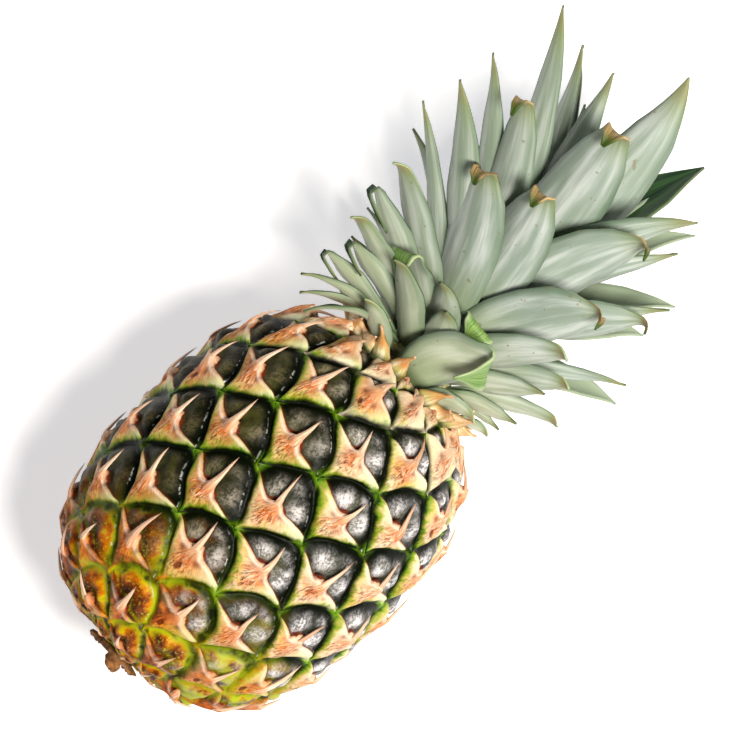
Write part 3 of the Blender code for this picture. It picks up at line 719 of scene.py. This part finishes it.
def leaf_mesh():
    """An empty mesh with the maps that the leaf finishes read."""
    bm = bmesh.new()
    return bm, (bm.loops.layers.uv.new("leaf"), bm.loops.layers.uv.new("trait"))


def add_leaf(bm, maps, line, width, kind, chance, cup=0.19, dry=0.0, bloom=0):
    """Lays a grid along the line: its rows are stations of the leaf, its columns cross it in a channel. width
    is in mm, and bloom is 1 for a leaf that is waxed on its inner face too."""
    made = grid(bm, LEAF_ROWS, LEAF_CUTS, maps, ((bloom + chance.random()) / 2, dry))
    wave = chance.uniform(0, 9)
    width *= MM
    low = min(p.z - 0.5 * width * abs(side.z) for p, side, _ in line)
    for v in made:
        s, across = v.co.x / 2 + 0.5, v.co.y
        place, side, lift = line[round(s * LEAF_ROWS)]
        half = width / 2 * leaf_width(s, kind)
        ripple = 0.25 * MM * math.sin(s * 17 + wave) * across**3
        flat = 1 - 0.85 * float(ease(s, 0.55, 0.72)) * (kind == "fold")
        spot = place + side * half * across + lift * (cup * flat * half * 2 * across * across + ripple)
        # A leaf that would reach through the table is raised off it, more towards its tip.
        spot.z += max(0.0, 1.5 * MM - low) * min(1.0, (place - line[0][0]).length / (30 * MM))
        v.co = spot


def make_leaves():
    """Leaves of the crown: those placed one by one, and plain ones all round its lower side."""
    bm, maps = leaf_mesh()
    upper = [(x, core_radius(x) - LEAF_DEEP, *rest) for x, *rest in UPPER_LEAVES]
    for first, leaves, dry in ((2000, upper, None), (2500, FOOT_LEAVES, FOOT_DRY)):
        for seed, (x, out, phi, tip_x, tip_out, arch, swing, width, kind) in enumerate(leaves, first):
            chance, phi, swing = random.Random(seed), math.radians(phi), math.radians(swing)
            line = leaf_line(x, out, phi, tip_x, tip_out, arch, swing, kind, chance)
            add_leaf(bm, maps, line, width, kind, chance, dry=dry or LEAF_KINDS[kind][3])
    for k in range(LOWER_LEAVES):
        chance = random.Random(3000 + k)
        f = (k + 0.5) / LOWER_LEAVES
        phi = math.pi + (((k * GOLDEN) % (2 * math.pi)) / (2 * math.pi) - 0.5) * math.radians(172)
        x, tip_x = 77 + 46 * f, 88 + 112 * f**0.9
        room = 54 / max(0.5, abs(math.cos(phi)))  # over the table
        tip_out = min(room, 40 + 26 * math.sin(math.pi * min(1.0, f * 1.25 + 0.1)))
        width = 9 + 12 * math.sin(math.pi * (0.12 + 0.76 * f))
        line = leaf_line(x, core_radius(x) - LEAF_DEEP, phi, tip_x, tip_out, 0.09, 0.0, "point", chance)
        add_leaf(bm, maps, line, width, "point", chance, dry=0.3, bloom=int(math.sin(phi) < 0.2))
    return leaf_piece("crown_leaves", bm, leaf_outer_material(), leaf_inner_material(), 1)


def make_collar():
    """Short bracts where the crown meets the fruit, half leaf and half fruitlet in colour."""
    bm, maps = leaf_mesh()
    for k, (x, out, tip_x, tip_out, width) in enumerate(COLLAR_ROWS):
        chance = random.Random(4000 + k)
        phi = math.remainder(k * GOLDEN, 2 * math.pi)
        if x > 68 and abs(phi + BROAD_AT) < BROAD_HALF:
            continue
        tip = tip_x + chance.uniform(-3, 4), tip_out + chance.uniform(-3, 2)
        line = leaf_line(x, out, phi, *tip, 0.14, chance.uniform(-0.3, 0.3), "spiny", chance)
        add_leaf(bm, maps, line, width * chance.uniform(0.65, 1.25), "spiny", chance, cup=0.26, dry=1.0)
    finish = collar_material()
    return leaf_piece("collar_bracts", bm, finish, finish, 0)


def thicken(obj, offset):
    """Gives the leaves their thickness: -1 puts it outside their line, and 0 on both sides."""
    shell = obj.modifiers.new("thickness", "SOLIDIFY")
    shell.thickness, shell.offset = LEAF_THICK, offset
    return shell


def leaf_piece(name, bm, outer, inner, rim):
    """A piece of leaves with a finish for each face; rim is 1 where their edges look like the inner one."""
    obj = piece(name, bm, outer, "pineapple_leaf")
    obj.data.materials.append(inner)
    shell = thicken(obj, -1.0)
    shell.material_offset, shell.material_offset_rim = 1, rim
    return obj


def leaf_fields(node):
    """What the finishes of a leaf share: place along and across it, its traits, and long fine veins."""
    at = SimpleNamespace()
    at.along, across, _ = node("SeparateXYZ", node("UVMap leaf")).node.outputs
    at.bloom, at.dry, _ = node("SeparateXYZ", node("UVMap trait")).node.outputs
    spot = node("CombineXYZ", at.along, across, at.bloom)
    at.veins = node("TexNoise", node("VectorMath MULTIPLY", spot, (3.0, 38.0, 50.0)), 1.0, 3.0, 0.6)
    at.clouds = node("TexNoise", node("VectorMath MULTIPLY", spot, (2.2, 5.0, 90.0)), 1.0, 3.0)
    at.edge = node("Math ABSOLUTE", node(TIMES_PLUS, across, 2.0, -1.0))
    return at


def leaf_outer_material():
    """Outer face of a crown leaf: green under a white wax bloom, which makes it grey-green and dull. Painted
    shade darkens it on the +y side, away from the lamp, towards its base where the leaves crowd, and towards
    its edges, which are also a greener margin.
    """
    made, shader, node, link = material("waxed_leaf_back")
    at = leaf_fields(node)
    place = node("TexCoord").node.outputs["Object"]
    place_x, place_y, _ = node("SeparateXYZ", place).node.outputs
    scars = node("TexNoise", place, 260.0, 2.0)  # 4 mm
    colour = node(MIX, node(STEP, at.clouds, 0.35, 0.7), "#8c9b8d", "#c8cfca")
    # painted shade: darker on the +y side, away from the lamp (place_y), towards the base where the leaves
    # crowd (along), and towards the edges, partly a real greener margin (edge)
    colour = lay(node, colour, (at.veins, 0.45, 0.75, 0.4, "#73876c"), (place_y, 0.012, 0.05, 0.4, "#76865e"),
                 (place_x, 0.12, 0.078, 0.5, "#bdc498"), (at.along, 0.5, 0.12, 0.65, "#7d9064"),
                 (at.along, 0.2, 0.03, 0.9, "#34451c"), (at.edge, 0.6, 1.0, 0.7, "#4b6848"),
                 (scars, 0.7, 0.74, 0.6, "#7d6b40"), (at.along, 0.76, 0.96, 0.8, "#71803a"))
    husk = node(MIX, node(STEP, at.veins, 0.38, 0.58), "#5c4a24", "#ae9468")
    colour = node(MIX, node(TIMES, node(STEP, at.along, 0.88, 0.94), at.dry), colour, husk)
    link(colour, shader.inputs["Base Color"])
    shader.inputs["Roughness"].default_value = 0.5
    shader.inputs["Sheen Weight"].default_value = 0.15
    link(node("Bump", 0.25, 0.0004, 0.1, at.veins), shader.inputs["Normal"])
    return made


def leaf_inner_material():
    """Inner face of a crown leaf: deep green, smoother and glossier, with little bloom. A tip that has folded
    over is paler, and one that has dried is fibrous and tan."""
    made, shader, node, link = material("green_leaf_face")
    at = leaf_fields(node)
    colour = node(MIX, node(STEP, at.clouds, 0.35, 0.7), "#12291a", "#2c4c28")
    colour = lay(node, colour, (at.veins, 0.5, 0.8, 0.4, "#7a9060"), (at.edge, 0.9, 1.0, 0.5, "#7f9068"),
                 (at.bloom, 0.49, 0.51, 0.8, "#a3b196"))
    folded = node(TIMES, node(STEP, at.along, 0.7, 0.78), node(STEP, at.dry, 0.4, 0.5, 0.0, 0.9))
    flap = node(MIX, node(STEP, at.veins, 0.4, 0.62), "#588434", "#8fac5e")
    colour = node(MIX, folded, colour, lay(node, flap, (at.edge, 0.6, 1.0, 0.6, "#c3cfa4")))
    dead = node(TIMES, node(STEP, at.along, 0.84, 0.87), node(STEP, at.dry, 0.6, 1.0))
    husk = node(MIX, node(STEP, at.veins, 0.4, 0.56), "#5c4820", "#c2a472")
    still_green = node(TIMES_PLUS, at.veins, 0.22, at.along)
    colour = node(MIX, dead, colour, lay(node, husk, (still_green, 1.045, 1.085, 1.0, "#3f581a")))
    link(colour, shader.inputs["Base Color"])
    shader.inputs["Roughness"].default_value = 0.42
    shader.inputs["Specular IOR Level"].default_value = 0.25
    link(node("Bump", 0.3, 0.0004, 0.1, at.veins), shader.inputs["Normal"])
    return made


def collar_material():
    """Collar bract: fleshy at its root and papery at its tip, cream with orange and green streaks."""
    made, shader, node, link = material("collar_bract")
    at = leaf_fields(node)
    colour = node(MIX, node(STEP, at.clouds, 0.4, 0.6), "#b3ae62", "#eee2ba")
    colour = lay(node, colour, (at.along, 0.35, 0.1, 0.95, "#2c3a0c"))
    warm = node(TIMES, node(STEP, at.along, 0.25, 0.6), node(STEP, at.veins, 0.4, 0.56))
    pale = node(STEP, node(PLUS, at.veins, at.bloom), 0.75, 1.0, 0.0, 0.8)
    colour = node(MIX, warm, colour, "#d98445")
    colour = node(MIX, node(TIMES, pale, node(STEP, at.along, 0.1, 0.5)), colour, "#f3d3ae")
    colour = lay(node, colour, (at.edge, 0.7, 1.0, 0.75, "#8a6a26"), (at.along, 0.8, 1.0, 0.7, "#f0b98e"))
    link(colour, shader.inputs["Base Color"])
    shader.inputs["Roughness"].default_value = 0.55
    link(node("Bump", 0.3, 0.0004, 0.1, at.veins), shader.inputs["Normal"])
    return made


def make_stem():
    """The leafy stem under the leaf bases."""
    bm = turned([(70.6 * MM, 8.7 * MM), *((x * MM, r * MM) for x, r in CORE)])
    return piece("crown_stem", bm, stem_material(), "pineapple_leaf", "crown")


def stem_material():
    """Fleshy leaf bases packed round the stem: cream, with green and brown streaks."""
    made, shader, node, link = material("fleshy_leaf_base")
    grain = node("TexNoise", node("TexCoord").node.outputs["Object"], 220.0, 4.0)  # 4.5 mm
    link(node(MIX, node(STEP, grain, 0.35, 0.6), "#8a8f4c", "#d9d2a0"), shader.inputs["Base Color"])
    shader.inputs["Roughness"].default_value = 0.5
    link(node("Bump", 0.4, 0.0006, 0.1, grain), shader.inputs["Normal"])
    return made


def turned(points):
    """A solid of revolution about the axis of the fruit, from points (x, radius)."""
    bm = bmesh.new()
    verts = [bm.verts.new((points[0][0], 0, AXIS_Z))]
    verts += [bm.verts.new((x, 0, AXIS_Z + r)) for x, r in points]
    verts.append(bm.verts.new((points[-1][0], 0, AXIS_Z)))
    edges = [bm.edges.new(pair) for pair in zip(verts, verts[1:])]
    bmesh.ops.spin(bm, geom=verts + edges, cent=(0, 0, AXIS_Z), axis=(1, 0, 0), angle=2 * math.pi, steps=40,
                   use_merge=True)
    bmesh.ops.remove_doubles(bm, verts=bm.verts, dist=0.01 * MM)
    bmesh.ops.recalc_face_normals(bm, faces=bm.faces)
    for face in bm.faces:
        face.smooth = True
    return bm


# ---------------------------------------------------------------- stalk


def make_stalk():
    """The stub of the stalk, with its cut end hollowed a little."""
    end = -BASE_HALF - STUB_LEN
    bm = turned([(-BASE_HALF + 0.9 * MM, 8.6 * MM), (-BASE_HALF - 0.3 * MM, STUB_R), (end + 0.5 * MM, STUB_R),
                 (end, STUB_R - MM), (end + 0.3 * MM, 3 * MM)])
    return piece("stalk_stub", bm, stalk_material(), "dried_stalk", "stalk")


def make_dry_bracts():
    """Dried bracts that stand round the stalk."""
    bm, maps = leaf_mesh()
    for k, (turn, beyond, tip_out, width) in enumerate(DRY_BRACTS):
        chance = random.Random(5000 + k)
        phi = math.radians(turn)
        root = Vector((-BASE_HALF + 0.5 * MM, STUB_R - 2 * MM))
        tip = Vector((-BASE_HALF - beyond * MM, tip_out * MM))
        run = (tip - root).normalized()
        out = Vector((0, math.sin(phi), math.cos(phi)))
        line = []
        for j in range(LEAF_ROWS + 1):
            flat = root.lerp(tip, j / LEAF_ROWS)
            line.append((Vector((flat.x, 0, AXIS_Z)) + out * flat.y, Vector((0, out.z, -out.y)),
                         Vector((-run.y, 0, 0)) + out * run.x))
        add_leaf(bm, maps, line, width, "hook", chance, cup=0.25, dry=1.0)
    obj = piece("basal_bracts", bm, stalk_material(), "dried_stalk")
    thicken(obj, 0.0)
    return obj


def stalk_material():
    """Dried bract and cut stalk: fibrous and papery, tan with dark brown streaks."""
    made, shader, node, link = material("dried_stalk_fibre")
    grain = node("TexNoise", node("TexCoord").node.outputs["Object"], 260.0, 5.0, 0.65)  # 4 mm
    link(node(MIX, node(STEP, grain, 0.35, 0.7), "#43230c", "#ad7640"), shader.inputs["Base Color"])
    shader.inputs["Roughness"].default_value = 0.75
    link(node("Bump", 0.6, 0.0006, 0.1, grain), shader.inputs["Normal"])
    return made


# ---------------------------------------------------------------- scene


def piece(name, bm, finish, slot, *nodes):
    """Turns the mesh into a piece that rides on the fruit, and stands for the solids named."""
    mesh = bpy.data.meshes.new(name)
    bm.to_mesh(mesh)
    bm.free()
    obj = bpy.data.objects.new(name, mesh)
    bpy.context.scene.collection.objects.link(obj)
    mesh.materials.append(finish)
    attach(obj, "root")
    if nodes:
        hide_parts(*nodes)
    return obj


def light(name, place, target, width, power, colour):
    """A round soft lamp, turned towards its target."""
    lamp = bpy.data.lights.new(name, "AREA")
    lamp.shape, lamp.size, lamp.energy, lamp.color = "DISK", width, power, linear(colour)[:3]
    obj = bpy.data.objects.new(name, lamp)
    bpy.context.scene.collection.objects.link(obj)
    obj.location = place
    obj.rotation_euler = (Vector(target) - Vector(place)).to_track_quat("-Z", "Y").to_euler()


def make_studio():
    """White light table, one large soft light from the near side, and a camera straight above."""
    bm = bmesh.new()
    bmesh.ops.create_grid(bm, x_segments=1, y_segments=1, size=3)
    mesh = bpy.data.meshes.new("table_top")
    bm.to_mesh(mesh)
    bm.free()
    floor = bpy.data.objects.new("table_top", mesh)
    bpy.context.scene.collection.objects.link(floor)
    made, shader, _, _ = material("white_table")
    shader.inputs["Base Color"].default_value = linear("#f2f2f2")
    shader.inputs["Roughness"].default_value = 0.8
    shader.inputs["Emission Color"].default_value = linear("#fbfbff")
    shader.inputs["Emission Strength"].default_value = 0.52
    mesh.materials.append(made)

    middle = (63 * MM, 7 * MM, 40 * MM)
    light("window", (0.24, -0.68, 1.67), middle, 0.55, 49, "#fffaf1")
    light("fill", (-0.5, 1.0, 1.2), middle, 1.6, 3, "#f4f7ff")
    world = bpy.data.worlds.new("studio")
    world.use_nodes = True
    sky = world.node_tree.nodes["Background"].inputs
    sky["Color"].default_value = linear("#fafaff")
    sky["Strength"].default_value = 0.12
    bpy.context.scene.world = world
    bpy.context.scene.view_settings.view_transform = "Standard"

    # The camera sees view_across at the height of the fruit's axis.
    distance, view_across, turn = 2.0, 273.8 * MM, math.radians(-43.45)
    lens = bpy.data.cameras.new("camera")
    lens.sensor_width = 36
    lens.lens = lens.sensor_width * distance / view_across
    camera = bpy.data.objects.new("camera", lens)
    bpy.context.scene.collection.objects.link(camera)
    camera.location = (63.3 * MM, 6.9 * MM, AXIS_Z + distance)
    camera.rotation_euler = (0, 0, turn)
    bpy.context.scene.camera = camera


make_rind()
make_spines()
make_stem()
make_leaves()
make_collar()
make_stalk()
make_dry_bracts()
make_studio()
